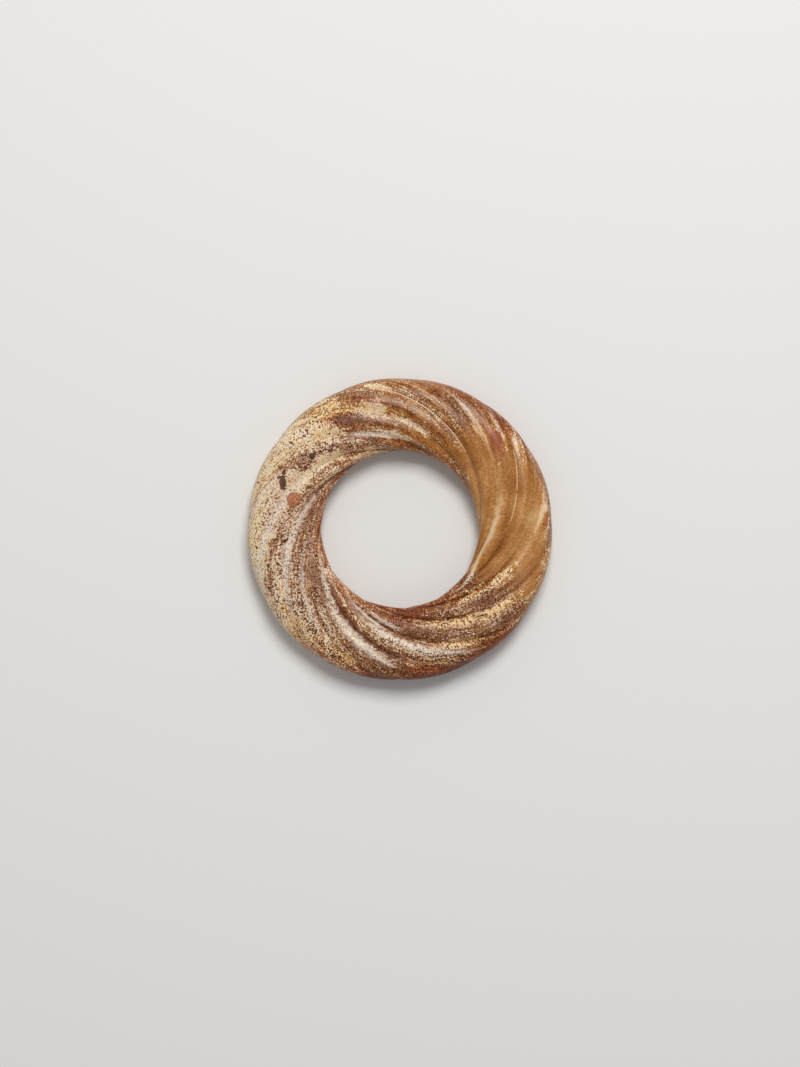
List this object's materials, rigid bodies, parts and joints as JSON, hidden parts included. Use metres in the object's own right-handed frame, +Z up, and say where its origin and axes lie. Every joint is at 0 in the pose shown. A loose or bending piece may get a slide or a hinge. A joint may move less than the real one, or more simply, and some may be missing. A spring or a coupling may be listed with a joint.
{
  "type": "jade rope-twist ring",
  "caption": "Flat-lying carved stone ring with a rounded section, cut with twisted strands like a rope closed on itself, for use as an ornament or cord ring.",
  "frame": {"origin": "on the ring's axis, at the height of the worn flats that it lies on", "axes": "+Z up along the ring's axis, +X to the right and +Y to the top of the ring as pictured"},
  "size_m": [0.06, 0.0593, 0.0091],
  "materials": {
    "jade": "semi-polished jade, honey brown with a cream and dark brown altered skin"
  },
  "bodies": {
    "root": {"rope_twist_ring": "jade"}
  },
  "joints": []
}
